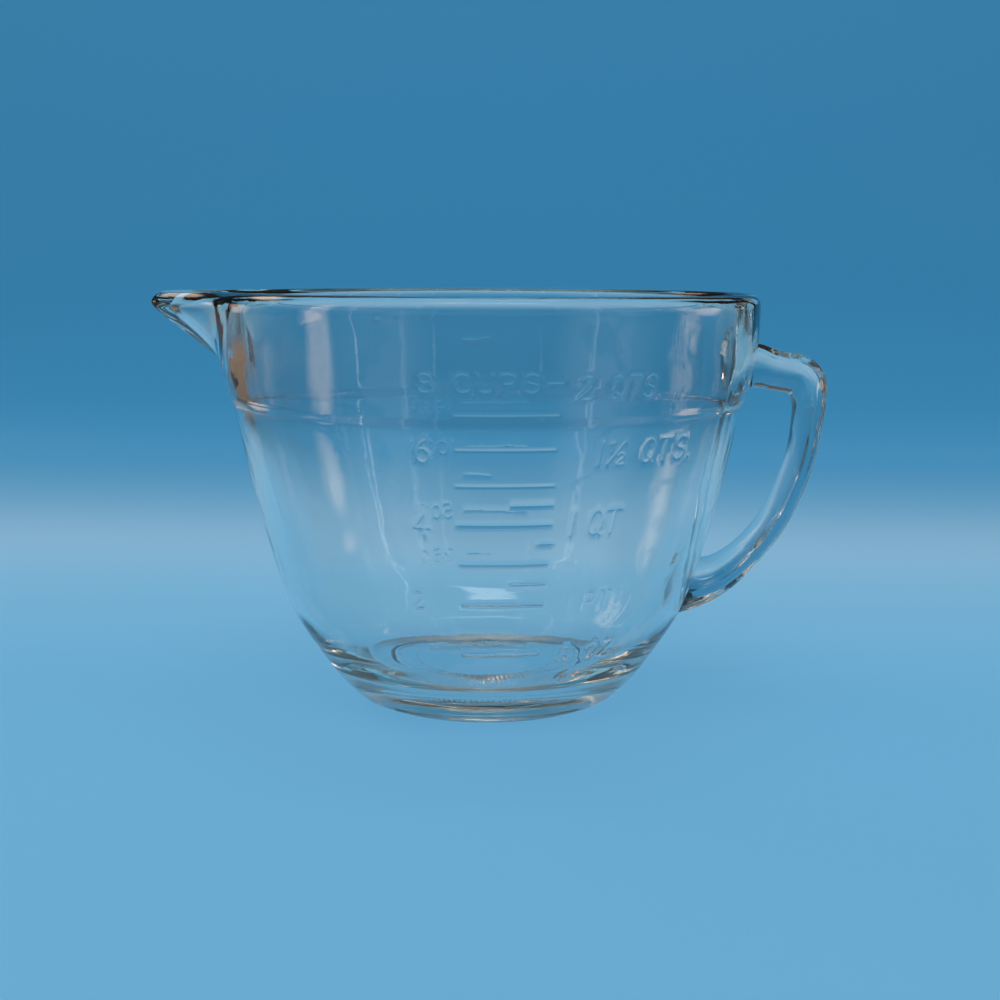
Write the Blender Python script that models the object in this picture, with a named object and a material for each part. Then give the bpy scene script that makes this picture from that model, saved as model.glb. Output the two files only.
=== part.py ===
"""A clear pressed-glass measuring bowl with a V-shaped pour spout and a loop handle.

Metres, +Z up. The foot rests on z = 0 and the bowl's axis is Z. The spout points to -X, the
handle to +X, the cup scale faces -Y and the millilitre scale faces +Y. The glass is one
pressing. Here it is divided into its named regions, a hair apart, each a closed solid.
"""

import math

import bmesh
import bpy
import numpy as np
from mathutils import Vector

MM = 0.001
GAP = 0.3 * MM  # between neighbouring regions

# Driving sizes of the bowl
HEIGHT = 144.1 * MM
FLOOR_TOP = 8.7 * MM
WALL_SPLIT = 38.0 * MM  # where the wall's curved foot gives way to its straighter part
STEP_LOW = 105.7 * MM  # the collar band's lower edge
STEP_HIGH = 107.9 * MM
RIM_START = 137.5 * MM

# Height and radius of the outside below the collar, of the collar, and of the inside
WALL_OUTSIDE = ((0.0, 48.6), (7.2, 55.8), (14.4, 60.8), (28.8, 69.9), (50.4, 77.8), (72.1, 83.5), (105.7, 90.6))
COLLAR_OUTSIDE = ((107.9, 92.2), (122.5, 95.2), (144.1, 96.2))
INSIDE = (
    (8.7, 36.0), (9.5, 41.6), (10.9, 45.5), (14.0, 50.6), (20.0, 57.0), (28.8, 63.7), (50.4, 71.6), (72.1, 77.4),
    (107.0, 85.0), (144.1, 90.3),
)  # fmt: skip

# The rim: a round over the outer edge, a tighter one over the inner edge
RIM_ROUND_OUTER = 4.6 * MM
RIM_ROUND_INNER = 3.0 * MM
RIM_CREST = 0.36  # the crest's place between the inner and the outer edge

# The foot: a flat ring to rest on around a shallow recess, which holds a stippled ring
RECESS_DEPTH = 1.2 * MM
RECESS_RADIUS = 37.0 * MM
RECESS_CHAMFER = 1.0 * MM
STIPPLE_INNER = 27.0 * MM
STIPPLE_OUTER = 34.6 * MM
STIPPLE_THICKNESS = 0.3 * MM
STIPPLE_HEIGHT = 0.25 * MM
STIPPLE_COUNT = 60

# The spout: how far its ridge slopes out, and how wide it is
SPOUT_OUTER_REACH = 26.3 * MM  # beyond the round rim
SPOUT_START = 118.3 * MM
SPOUT_SLOPE = 1.27  # outwards for each metre up
SPOUT_SOFTNESS = 1.6 * MM
SPOUT_INNER_RISE = 5.0 * MM  # the channel's floor above the ridge underneath it
SPOUT_INNER_REACH = 21.5 * MM
SPOUT_HALF_ANGLE = math.radians(25.0)
SPOUT_HALF_ANGLE_LOW = math.radians(11.0)
SPOUT_POWER = 2.6
SPOUT_TIP_ROUND = 0.12

# The handle: middle line in the XZ plane, its depth there and its width across
HANDLE_STATIONS = (
    # x, z, depth, width
    (87.0, 119.0, 18.4, 25.0),
    (96.4, 118.4, 15.6, 19.0),
    (101.5, 117.2, 14.4, 17.0),
    (107.0, 116.2, 14.2, 16.4),
    (111.3, 115.3, 14.8, 16.2),
    (114.3, 111.8, 14.8, 16.0),
    (115.6, 105.8, 12.0, 16.0),
    (115.3, 98.0, 11.0, 16.0),
    (113.8, 86.6, 10.7, 16.0),
    (110.3, 75.4, 10.6, 16.0),
    (105.8, 64.7, 10.6, 16.0),
    (100.0, 55.8, 11.0, 16.2),
    (92.8, 47.8, 12.0, 16.8),
    (85.4, 42.0, 14.3, 18.6),
    (77.6, 38.8, 17.6, 22.0),
    (68.0, 37.0, 21.0, 27.0),
)
HANDLE_SPLITS = (3, 12)  # the stations where the grip meets its roots
HANDLE_RINGS_PER_STATION = 2
HANDLE_SIDES = 16
HANDLE_SQUARENESS = 2.8  # of its section's inner half: 2 is an ellipse, higher is squarer
HANDLE_OUTER_SQUARENESS = 1.25  # its outer half narrows to a blunt wedge

# The raised scale: each mark's height on the wall, and how far it runs round from the scale's middle
MARK_RAISE = 0.45 * MM
MARK_THICKNESS = 0.8 * MM
CUP_SCALE_MIDDLE = math.radians(-90.0 + 5.9)
ML_SCALE_MIDDLE = math.radians(90.0)
FULL_MARK = (-10.0, 10.0)  # degrees
SHORT_MARK = (1.0, 10.0)
DASH_MARK = (7.0, 10.5)
CUP_MARKS = (
    ("1_cup", 30.8, FULL_MARK),
    ("2_cups", 47.7, FULL_MARK),
    ("2_half_cups", 55.4, SHORT_MARK),
    ("3_cups", 62.2, FULL_MARK),
    ("3_half_cups", 68.8, DASH_MARK),
    ("4_cups", 75.1, FULL_MARK),
    ("4_half_cups", 81.3, SHORT_MARK),
    ("5_cups", 87.4, FULL_MARK),
    ("6_cups", 98.6, FULL_MARK),
    ("7_cups", 109.2, FULL_MARK),
    ("8_cups", 118.9, DASH_MARK),
)
ML_MARKS = (
    ("250_ml", 33.2, SHORT_MARK),
    ("500_ml", 50.0, FULL_MARK),
    ("750_ml", 64.7, SHORT_MARK),
    ("1000_ml", 78.0, FULL_MARK),
    ("1250_ml", 90.5, SHORT_MARK),
    ("1500_ml", 102.1, FULL_MARK),
    ("1750_ml", 113.1, SHORT_MARK),
    ("2000_ml", 123.6, FULL_MARK),
)

AROUND = 64  # facets round the whole bowl
SPOUT_FACETS = 24
SPOUT_MIDDLE = math.pi
FULL_TURN = 2 * math.pi

GLASS_COLOUR = (0.86, 0.93, 0.95, 1.0)
GLASS_ROUGHNESS = 0.02
STIPPLE_ROUGHNESS = 0.35
GLASS_IOR = 1.5


def clear_scene():
    for obj in list(bpy.data.objects):
        bpy.data.objects.remove(obj)


def glass_material(name, roughness):
    material = bpy.data.materials.new(name)
    material.use_nodes = True
    shader = material.node_tree.nodes["Principled BSDF"]
    shader.inputs["Base Color"].default_value = GLASS_COLOUR
    shader.inputs["Roughness"].default_value = roughness
    shader.inputs["Metallic"].default_value = 0.0
    shader.inputs["IOR"].default_value = GLASS_IOR
    shader.inputs["Transmission Weight"].default_value = 1.0
    return material


def add_object(name, mesh, roughness=GLASS_ROUGHNESS):
    obj = bpy.data.objects.new(name, mesh)
    bpy.context.scene.collection.objects.link(obj)
    mesh.materials.append(glass_material(name + "_glass", roughness))
    mesh.shade_smooth()
    mesh.set_sharp_from_angle(angle=math.radians(40))
    return obj


def solid_from_sections(name, sections, closed):
    """A mesh through rings of points that all have the same count. An open run of rings gets flat ends."""
    shape = bmesh.new()
    rings = [[shape.verts.new(point) for point in section] for section in sections]
    following = rings[1:] + rings[:1] if closed else rings[1:]
    for ring, next_ring in zip(rings, following):
        for i in range(len(ring)):
            j = (i + 1) % len(ring)
            shape.faces.new((ring[i], ring[j], next_ring[j], next_ring[i]))
    if not closed:
        shape.faces.new(reversed(rings[0]))
        shape.faces.new(rings[-1])
    bmesh.ops.recalc_face_normals(shape, faces=shape.faces)
    mesh = bpy.data.meshes.new(name)
    shape.to_mesh(mesh)
    shape.free()
    return mesh


def polar(angle, radius, height):
    return (radius * math.cos(angle), radius * math.sin(angle), height)


def radius_at(outline, height):
    """Radius of a smooth curve through (height, radius) points in millimetres. Slopes are taken
    from each point's neighbours."""
    z = np.array([point[0] for point in outline]) * MM
    r = np.array([point[1] for point in outline]) * MM
    slopes = np.gradient(r, z)
    i = int(np.clip(np.searchsorted(z, height) - 1, 0, len(z) - 2))
    span = z[i + 1] - z[i]
    t = (height - z[i]) / span
    return float(
        r[i] * (1 + 2 * t) * (1 - t) ** 2
        + slopes[i] * span * t * (1 - t) ** 2
        + r[i + 1] * t * t * (3 - 2 * t)
        + slopes[i + 1] * span * t * t * (t - 1)
    )


def outside_radius(height):
    if height <= STEP_LOW:
        return radius_at(WALL_OUTSIDE, height)
    if height >= STEP_HIGH:
        return radius_at(COLLAR_OUTSIDE, height)
    low = radius_at(WALL_OUTSIDE, STEP_LOW)
    high = radius_at(COLLAR_OUTSIDE, STEP_HIGH)
    return low + (high - low) * (height - STEP_LOW) / (STEP_HIGH - STEP_LOW)


def inside_radius(height):
    return radius_at(INSIDE, height)


def spout_push(height, reach):
    """How far the spout's middle stands out from the round bowl: a slope with soft ends."""
    rise = SPOUT_SLOPE * SPOUT_SOFTNESS * math.log1p(math.exp((height - SPOUT_START) / SPOUT_SOFTNESS))
    return -SPOUT_SOFTNESS * math.log(math.exp(-rise / SPOUT_SOFTNESS) + math.exp(-reach / SPOUT_SOFTNESS))


def spout_share(angle, push):
    """The share of that push at an angle from the spout's middle: 1 there, falling to 0 in a V."""
    fullness = push / SPOUT_OUTER_REACH
    half_angle = SPOUT_HALF_ANGLE_LOW + (SPOUT_HALF_ANGLE - SPOUT_HALF_ANGLE_LOW) * fullness
    across = math.hypot(angle / half_angle, SPOUT_TIP_ROUND) - SPOUT_TIP_ROUND
    return max(0.0, 1 - across) ** SPOUT_POWER


def outer_edge(angle, height):
    push = spout_push(height, SPOUT_OUTER_REACH)
    return outside_radius(height) + push * spout_share(angle, push)


def inner_edge(angle, height):
    push = spout_push(height - SPOUT_INNER_RISE, SPOUT_INNER_REACH)
    return inside_radius(height) + push * spout_share(angle, push)


def rim_arc(angle, count=4):
    """(radius, height) over the rim, from its outer to its inner side."""
    outer = outer_edge(angle, HEIGHT - RIM_ROUND_OUTER)
    inner = inner_edge(angle, HEIGHT - RIM_ROUND_INNER)
    crest = inner + RIM_CREST * (outer - inner)
    turns = [math.pi / 2 * (i + 1) / count for i in range(count)]
    over = [(crest + (outer - crest) * math.cos(t), HEIGHT - RIM_ROUND_OUTER * (1 - math.sin(t))) for t in turns]
    back = [(crest - (crest - inner) * math.sin(t), HEIGHT - RIM_ROUND_INNER * (1 - math.cos(t))) for t in turns]
    return over + back


def round_angles():
    return [FULL_TURN * i / AROUND for i in range(AROUND)]


def beside_spout_angles():
    """From one side of the spout, round by the handle, to the other, clear of the spout's own solid."""
    radius = outside_radius(HEIGHT)
    start = SPOUT_MIDDLE + SPOUT_HALF_ANGLE + 0.02 + GAP / radius
    turn = FULL_TURN - 2 * (start - SPOUT_MIDDLE)
    count = round(AROUND * turn / FULL_TURN)
    return [start + turn * i / count for i in range(count + 1)]


def turned(name, outline):
    sections = [[polar(angle, r, z) for r, z in outline] for angle in round_angles()]
    return add_object(name, solid_from_sections(name, sections, closed=True))


def make_foot_ring():
    top = FLOOR_TOP - GAP
    outline = [(RECESS_RADIUS + RECESS_CHAMFER, 0.0)]
    outline += [(outside_radius(z), z) for z in np.linspace(0.0, top, 5)]
    outline += [(RECESS_RADIUS, top), (RECESS_RADIUS, RECESS_CHAMFER)]
    return turned("foot_ring", outline)


def make_base_disc():
    """A round plate: a cylinder between the recess and the inside floor."""
    shape = bmesh.new()
    bmesh.ops.create_cone(
        shape,
        cap_ends=True,
        segments=AROUND,
        radius1=RECESS_RADIUS - GAP,
        radius2=RECESS_RADIUS - GAP,
        depth=FLOOR_TOP - RECESS_DEPTH,
    )
    bmesh.ops.translate(shape, verts=shape.verts, vec=(0, 0, (FLOOR_TOP + RECESS_DEPTH) / 2))
    mesh = bpy.data.meshes.new("base_disc")
    shape.to_mesh(mesh)
    shape.free()
    return add_object("base_disc", mesh)


def make_stipple_ring():
    """A thin ring under the base whose lower face carries radial ridges."""
    top = RECESS_DEPTH - GAP
    sections = []
    for i in range(2 * STIPPLE_COUNT):
        low = top - STIPPLE_THICKNESS - (STIPPLE_HEIGHT if i % 2 else 0.0)
        outline = ((STIPPLE_INNER, top), (STIPPLE_INNER, low), (STIPPLE_OUTER, low), (STIPPLE_OUTER, top))
        sections.append([polar(math.pi * i / STIPPLE_COUNT, r, z) for r, z in outline])
    mesh = solid_from_sections("stipple_ring", sections, closed=True)
    return add_object("stipple_ring", mesh, STIPPLE_ROUGHNESS)


def make_walls():
    """The tapered wall in two rings: the curved one that rises from the floor, and the straighter one above."""
    corner = [point[0] * MM for point in INSIDE[1:5]]
    low_top = WALL_SPLIT - GAP / 2
    outside = [(outside_radius(z), z) for z in np.linspace(FLOOR_TOP, low_top, 5)]
    inside = [(inside_radius(z), z) for z in [low_top, INSIDE[5][0] * MM] + corner[::-1]]
    turned("lower_wall", outside + inside + [(RECESS_RADIUS, FLOOR_TOP + GAP / 2)])
    low, top = WALL_SPLIT + GAP / 2, STEP_LOW - GAP
    outside = [(outside_radius(z), z) for z in np.linspace(low, top, 8)]
    inside = [(inside_radius(z), z) for z in np.linspace(top, low, 7)]
    turned("upper_wall", outside + inside)


def make_band(name, outline_at):
    """A band of the bowl that runs round from one side of the spout to the other."""
    sections = [[polar(angle, r, z) for r, z in outline_at(angle)] for angle in beside_spout_angles()]
    return add_object(name, solid_from_sections(name, sections, closed=False))


def collar_outline(angle):
    from_spout = angle - SPOUT_MIDDLE
    heights_up = [STEP_LOW, STEP_HIGH] + list(np.linspace(STEP_HIGH, RIM_START - GAP, 4)[1:])
    up = [(outer_edge(from_spout, z), z) for z in heights_up]
    down = [(inner_edge(from_spout, z), z) for z in np.linspace(RIM_START - GAP, STEP_LOW, 3)]
    return up + down


def rim_outline(angle):
    from_spout = angle - SPOUT_MIDDLE
    start = (outer_edge(from_spout, RIM_START), RIM_START)
    rounded = (outer_edge(from_spout, HEIGHT - RIM_ROUND_OUTER), HEIGHT - RIM_ROUND_OUTER)
    end = (inner_edge(from_spout, RIM_START), RIM_START)
    return [start, rounded] + rim_arc(from_spout) + [end]


def spout_outline(from_spout):
    """Up the ridge underneath, over the lip, and back down the channel."""
    outer_heights = [STEP_LOW, STEP_HIGH] + list(np.linspace(STEP_HIGH, HEIGHT - RIM_ROUND_OUTER, 13)[1:])
    inner_heights = np.linspace(HEIGHT - RIM_ROUND_INNER, STEP_LOW, 12)[1:]
    up = [(outer_edge(from_spout, z), z) for z in outer_heights]
    down = [(inner_edge(from_spout, z), z) for z in inner_heights]
    return up + rim_arc(from_spout) + down


def make_pour_spout():
    edge = SPOUT_HALF_ANGLE + 0.02
    # Facets crowd towards the middle, where the V turns sharply.
    spread = [math.copysign(abs(t) ** 1.4, t) for t in np.linspace(-1, 1, SPOUT_FACETS + 1)]
    sections = []
    for share in spread:
        angle = edge * share
        sections.append([polar(SPOUT_MIDDLE + angle, r, z) for r, z in spout_outline(angle)])
    return add_object("pour_spout", solid_from_sections("pour_spout", sections, closed=False))


def handle_station(place):
    """x, z, depth and width of the handle at a place counted in stations, on a smooth curve through them."""
    index = min(int(place), len(HANDLE_STATIONS) - 2)
    t = place - index
    near = np.clip(range(index - 1, index + 3), 0, len(HANDLE_STATIONS) - 1)
    before, start, end, after = (np.array(HANDLE_STATIONS[i]) * MM for i in near)
    bend = 2 * before - 5 * start + 4 * end - after
    twist = 3 * (start - end) + after - before
    return start + ((end - before) * t + bend * t**2 + twist * t**3) / 2


def handle_ring(place):
    """The rounded section across the handle at one place, and the handle's direction there."""
    x, z, depth, width = handle_station(place)
    step = 0.1
    ahead = handle_station(min(place + step, len(HANDLE_STATIONS) - 1))
    behind = handle_station(max(place - step, 0))
    along = Vector((ahead[0] - behind[0], 0.0, ahead[1] - behind[1])).normalized()
    outwards = Vector((-along.z, 0.0, along.x))
    across = Vector((0.0, 1.0, 0.0))
    ring = []
    for i in range(HANDLE_SIDES):
        turn = FULL_TURN * i / HANDLE_SIDES
        cosine, sine = math.cos(turn), math.sin(turn)
        power = HANDLE_OUTER_SQUARENESS if cosine > 0 else HANDLE_SQUARENESS
        size = (abs(cosine) ** power + abs(sine) ** power) ** (-1 / power)
        offset = outwards * (depth / 2 * size * cosine) + across * (width / 2 * size * sine)
        ring.append(Vector((x, 0.0, z)) + offset)
    return ring, along


def make_handle_piece(name, first, last):
    """The handle between two stations, pulled back by half a gap where it meets its neighbour."""
    sections = []
    rings = (last - first) * HANDLE_RINGS_PER_STATION
    for i in range(rings + 1):
        ring, along = handle_ring(first + i / HANDLE_RINGS_PER_STATION)
        if i == 0 and first in HANDLE_SPLITS:
            ring = [point + along * GAP / 2 for point in ring]
        if i == rings and last in HANDLE_SPLITS:
            ring = [point - along * GAP / 2 for point in ring]
        sections.append(ring)
    return add_object(name, solid_from_sections(name, sections, closed=False))


def make_wall_cutter():
    """The bowl's outer shape, a gap larger, to shape the ends of the handle's roots."""
    heights = list(np.linspace(5 * MM, STEP_LOW - GAP, 14)) + [STEP_HIGH - GAP, 116 * MM, 124 * MM, RIM_START]
    outline = [(outside_radius(z) + GAP, z) for z in heights]
    outline += [(1 * MM, heights[-1]), (1 * MM, heights[0])]
    cutter = turned("wall_cutter", outline)
    cutter.hide_render = True
    cutter.display_type = "WIRE"
    return cutter


def make_handle():
    upper_split, lower_split = HANDLE_SPLITS
    make_handle_piece("handle_grip", upper_split, lower_split)
    roots = [
        make_handle_piece("handle_upper_root", 0, upper_split),
        make_handle_piece("handle_lower_root", lower_split, len(HANDLE_STATIONS) - 1),
    ]
    cutter = make_wall_cutter()
    for root in roots:
        cut = root.modifiers.new("meet_wall", "BOOLEAN")
        cut.operation = "DIFFERENCE"
        cut.object = cutter


def make_mark(name, height, middle, span):
    """One raised line of a scale, which follows the wall round."""
    steps = 4
    sections = []
    for i in range(steps + 1):
        angle = middle + math.radians(span[0] + (span[1] - span[0]) * i / steps)
        section = []
        for raised, rise in ((GAP, -0.5), (GAP, 0.5), (GAP + MARK_RAISE, 0.3), (GAP + MARK_RAISE, -0.3)):
            z = height + rise * MARK_THICKNESS
            section.append(polar(angle, outside_radius(z) + raised, z))
        sections.append(section)
    return add_object(name, solid_from_sections(name, sections, closed=False))


def make_scales():
    for label, height, span in CUP_MARKS:
        make_mark("mark_" + label, height * MM, CUP_SCALE_MIDDLE, span)
    for label, height, span in ML_MARKS:
        make_mark("mark_" + label, height * MM, ML_SCALE_MIDDLE, span)


def main():
    clear_scene()
    make_foot_ring()
    make_base_disc()
    make_stipple_ring()
    make_walls()
    make_band("collar_band", collar_outline)
    make_band("rim_bead", rim_outline)
    make_pour_spout()
    make_handle()
    make_scales()


main()
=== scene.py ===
"""A clear pressed-glass measuring bowl: its visual model, camera and studio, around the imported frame."""

import math

import bmesh
import bpy
import numpy as np
from mathutils import Matrix, Vector, kdtree, noise
from mathutils.geometry import delaunay_2d_cdt


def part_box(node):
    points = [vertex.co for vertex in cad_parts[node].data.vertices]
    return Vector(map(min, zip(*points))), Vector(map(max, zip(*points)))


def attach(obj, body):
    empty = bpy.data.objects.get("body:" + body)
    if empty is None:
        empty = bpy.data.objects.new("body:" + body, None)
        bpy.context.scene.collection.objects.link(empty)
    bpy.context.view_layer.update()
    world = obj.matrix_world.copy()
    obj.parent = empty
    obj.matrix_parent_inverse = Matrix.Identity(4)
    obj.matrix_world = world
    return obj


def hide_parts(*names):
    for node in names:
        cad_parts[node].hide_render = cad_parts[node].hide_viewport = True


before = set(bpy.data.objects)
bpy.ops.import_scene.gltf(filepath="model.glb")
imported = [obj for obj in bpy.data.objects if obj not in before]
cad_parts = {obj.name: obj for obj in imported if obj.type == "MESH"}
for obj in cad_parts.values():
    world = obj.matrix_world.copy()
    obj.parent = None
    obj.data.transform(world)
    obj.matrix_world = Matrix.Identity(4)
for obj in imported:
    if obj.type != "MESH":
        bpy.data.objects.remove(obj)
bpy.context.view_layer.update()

MM = 0.001

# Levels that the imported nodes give, in millimetres
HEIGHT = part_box("rim_bead")[1].z / MM
STEP_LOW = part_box("collar_band")[0].z / MM
RECESS_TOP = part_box("base_disc")[0].z / MM
STEP_RISE = 2.2
STEP_HIGH = STEP_LOW + STEP_RISE

# (height, radius) of the outside below the collar, of the collar, and of the inside
WALL_OUTSIDE = (
    (0.0, 48.6), (7.2, 55.8), (14.4, 60.8), (28.8, 69.9), (50.4, 77.8), (72.1, 83.5), (105.7, 90.6),
)  # fmt: skip
COLLAR_OUTSIDE = ((107.9, 92.2), (122.5, 95.2), (144.1, 96.2))
INSIDE = (
    (9.6, 36.0), (10.3, 41.0), (11.6, 45.3), (14.0, 50.6), (20.0, 57.0),
    (28.8, 63.7), (50.4, 71.6), (72.1, 77.4), (107.0, 85.0), (144.1, 90.3),
)  # fmt: skip
FLOOR_MIDDLE = 7.5  # the floor's height on the axis
FLOOR_CURVE = 310.0  # the radius that it is dished to
RECESS_EDGE = 36.6
FOOT_INNER = 38.0
FOOT_MIDDLE = 42.0  # outside of this radius the outline climbs all the way to the rim
OUTLINE_FROM = 28.0  # the radius in the recess where the outline starts
OUTLINE_TO = 25.0  # and the one on the floor where it ends
FLOOR_FROM = 36.5  # the radius where the dished floor begins

# The rim
RIM_ROUND_OUTER = 4.6
RIM_ROUND_INNER = 3.0
RIM_CREST = 0.36

# The spout
SPOUT_OUTER_REACH = 26.3
SPOUT_START = 118.3
SPOUT_SLOPE = 1.27
SPOUT_SOFTNESS = 1.6
SPOUT_INNER_RISE = 5.0
SPOUT_INNER_REACH = 21.5
SPOUT_HALF_ANGLE = math.radians(25.0)
SPOUT_HALF_ANGLE_LOW = math.radians(11.0)
SPOUT_POWER = 2.6
SPOUT_TIP_ROUND = 0.12

# The stippled ring under the base
STIPPLE_INNER = 27.0
STIPPLE_OUTER = 34.6
STIPPLE_RIDGES = 120
STIPPLE_HEIGHT = 0.7  # how far its grooves reach up into the glass
STIPPLE_FADE = 0.5  # over which a groove runs out at either end
POINTS_PER_RIDGE = 4

# The handle: middle line in the XZ plane, its depth there and its width across
HANDLE_STATIONS = (
    # x, z, depth, width
    (87.0, 119.0, 18.4, 25.0),
    (96.4, 118.4, 15.6, 19.0),
    (101.5, 117.2, 14.4, 17.0),
    (107.0, 116.2, 14.2, 16.4),
    (111.3, 115.3, 14.8, 16.2),
    (114.3, 111.8, 14.8, 16.0),
    (115.6, 105.8, 12.0, 16.0),
    (115.3, 98.0, 11.0, 16.0),
    (113.8, 86.6, 10.7, 16.0),
    (110.3, 75.4, 10.6, 16.0),
    (105.8, 64.7, 10.6, 16.0),
    (100.0, 55.8, 11.0, 16.2),
    (92.8, 47.8, 12.0, 16.8),
    (85.4, 42.0, 14.3, 18.6),
    (77.6, 38.8, 17.6, 22.0),
    (68.0, 37.0, 21.0, 27.0),
)
HANDLE_SIDES = 64
HANDLE_RING_STEP = 1.3
HANDLE_RIPPLES = 3.0  # across, for each radian of the section
HANDLE_RIPPLE_LENGTH = 22.0
HANDLE_RIPPLE_HEIGHT = 0.5
HANDLE_SEED = 5.0
STATION_LENGTH = 9.0  # about how far apart the stations are
HANDLE_SQUARENESS = 2.8  # of its section's inner half; 2 would be an ellipse
HANDLE_OUTER_SQUARENESS = 1.25  # its outer half narrows to a blunt wedge
ROOT_DEPTH = 2.6  # how far below the wall's surface the handle's ends lie
ROOT_SLACK = 0.05
RIM_MARGIN = 6.0  # the wall's radius is read no nearer to the rim than this

# The raised scale
STROKE_RAISE = 0.18
STROKE_HALF_WIDTH = 0.6
STROKE_STEP = 0.55
STROKE_FINENESS = 5  # times as many points to measure the distance to a line by
MARK_INSET = 0.4  # degrees between a mark's end and the end of its line
LEAN_STRETCH = math.hypot(1.0, 0.26)  # a label's length along the leaning wall, for each mm of its height
RAILS = (0.0, 0.24, 0.42, 0.6)  # how far from a line its rows of points lie
RAIL_GAP = 0.2  # and how near to each other they may come
STROKE_MARGIN = 0.35  # kept free of the wall's own points beside a line
CUP_LABELS = (
    # text, from and to degrees round from -Y, from and to millimetres up, slant
    ("8 CUPS", -10.3, 11.6, 116.2, 121.5, 0.0),
    ("6", -11.6, -8.2, 94.8, 101.7, 0.0),
    ("4", -13.2, -9.3, 71.4, 79.0, 0.08),
    ("2", -15.2, -11.6, 46.5, 52.2, 0.08),
    ("2 QTS.", 18.9, 36.3, 114.0, 120.6, 0.12),
    ("1½ QTS.", 24.8, 48.8, 93.2, 100.4, 0.12),
    ("1 QT", 20.2, 31.8, 71.0, 78.7, 0.12),
    ("1 PT", 21.9, 33.0, 45.2, 51.6, 0.12),
    ("8 OZ.", 21.0, 39.5, 26.5, 33.0, 0.12),
    ("4", 22.8, 27.4, 18.0, 23.7, 0.3),
)
ML_LABELS = (
    ("2000 ML", 13.0, 34.0, 120.4, 126.6, 0.0),
    ("1500", 13.0, 25.0, 99.0, 105.0, 0.0),
    ("1000", 13.0, 26.0, 75.0, 81.0, 0.0),
    ("500", 14.0, 25.0, 47.2, 52.8, 0.0),
    ("250", 14.0, 26.0, 30.4, 35.8, 0.0),
)
PANELS = (
    # middle of the scale, from and to degrees round it, from and to millimetres up, labels
    ("cup", -90.0, -24.0, 54.0, 15.0, 129.0, CUP_LABELS),
    ("ml", 90.0, -24.0, 40.0, 26.0, 131.0, ML_LABELS),
)


def arc(cx, cy, rx, ry, start, end, steps):
    """Points on an oval, from and to degrees round it."""
    turns = np.radians(np.linspace(start, end, steps))
    return [(cx + rx * math.cos(a), cy + ry * math.sin(a)) for a in turns]


SMALL_ONE = [[(0.08, 0.88), (0.2, 1.0), (0.2, 0.52)]]
SMALL_TWO = [arc(0.62, 0.36, 0.14, 0.12, 170, -30, 7) + [(0.48, 0.0), (0.78, 0.0)]]
STROKES = {
    "0": [arc(0.32, 0.5, 0.28, 0.5, 90, 450, 20)],
    "O": [arc(0.34, 0.5, 0.3, 0.5, 90, 450, 20)],
    "1": [[(0.3, 1.0), (0.3, 0.0)]],
    "2": [arc(0.32, 0.72, 0.28, 0.28, 165, -30, 10) + [(0.04, 0.0), (0.62, 0.0)]],
    "3": [arc(0.3, 0.75, 0.25, 0.25, 150, -90, 9) + arc(0.3, 0.25, 0.29, 0.25, 90, -150, 10)],
    "4": [[(0.48, 0.0), (0.48, 1.0), (0.04, 0.32), (0.66, 0.32)]],
    "5": [[(0.56, 1.0), (0.14, 1.0), (0.1, 0.56)] + arc(0.32, 0.32, 0.29, 0.31, 125, -150, 10)],
    "6": [arc(0.32, 0.3, 0.27, 0.3, 0, 360, 16), arc(0.63, 0.3, 0.58, 0.7, 180, 108, 8)],
    "7": [[(0.04, 1.0), (0.6, 1.0), (0.24, 0.0)]],
    "8": [arc(0.32, 0.76, 0.22, 0.24, -90, 270, 14), arc(0.32, 0.26, 0.28, 0.26, 90, 450, 16)],
    "C": [arc(0.36, 0.5, 0.32, 0.5, 50, 310, 14)],
    "U": [[(0.05, 1.0), (0.05, 0.3)] + arc(0.33, 0.3, 0.28, 0.3, 180, 360, 9) + [(0.61, 1.0)]],
    "P": [[(0.06, 0.0), (0.06, 1.0), (0.3, 1.0)] + arc(0.3, 0.74, 0.27, 0.26, 80, -90, 8) + [(0.06, 0.48)]],
    "S": [arc(0.32, 0.75, 0.25, 0.25, 30, 270, 9) + arc(0.32, 0.25, 0.28, 0.25, 80, -150, 9)],
    "Q": [arc(0.34, 0.5, 0.3, 0.5, 90, 450, 20), [(0.42, 0.24), (0.66, -0.04)]],
    "T": [[(0.02, 1.0), (0.62, 1.0)], [(0.32, 0.94), (0.32, 0.0)]],
    "Z": [[(0.05, 1.0), (0.58, 1.0), (0.04, 0.0), (0.6, 0.0)]],
    "M": [[(0.04, 0.0), (0.1, 1.0), (0.36, 0.3), (0.62, 1.0), (0.68, 0.0)]],
    "L": [[(0.06, 1.0), (0.06, 0.0), (0.52, 0.0)]],
    ".": [[(0.1, 0.0), (0.1, 0.05)]],
    "½": SMALL_ONE + [[(0.12, 0.05), (0.66, 0.95)]] + SMALL_TWO,
}
ADVANCE = {" ": 0.5, ".": 0.25, "1": 0.55, "½": 1.0, "M": 0.9}
USUAL_ADVANCE = 0.86


# ---------------------------------------------------------------- the bowl's outline


def curve_through(points, at):
    """The radius at a height, on a smooth curve through (height, radius) points."""
    z, r = np.array(points).T
    slopes = np.gradient(r, z)
    i = np.clip(np.searchsorted(z, at) - 1, 0, len(z) - 2)
    span = z[i + 1] - z[i]
    t = (at - z[i]) / span
    return (
        r[i] * (1 + 2 * t) * (1 - t) ** 2
        + slopes[i] * span * t * (1 - t) ** 2
        + r[i + 1] * t * t * (3 - 2 * t)
        + slopes[i + 1] * span * t * t * (t - 1)
    )


def dish_height(radius):
    return FLOOR_MIDDLE + radius**2 / (2 * FLOOR_CURVE)


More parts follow.
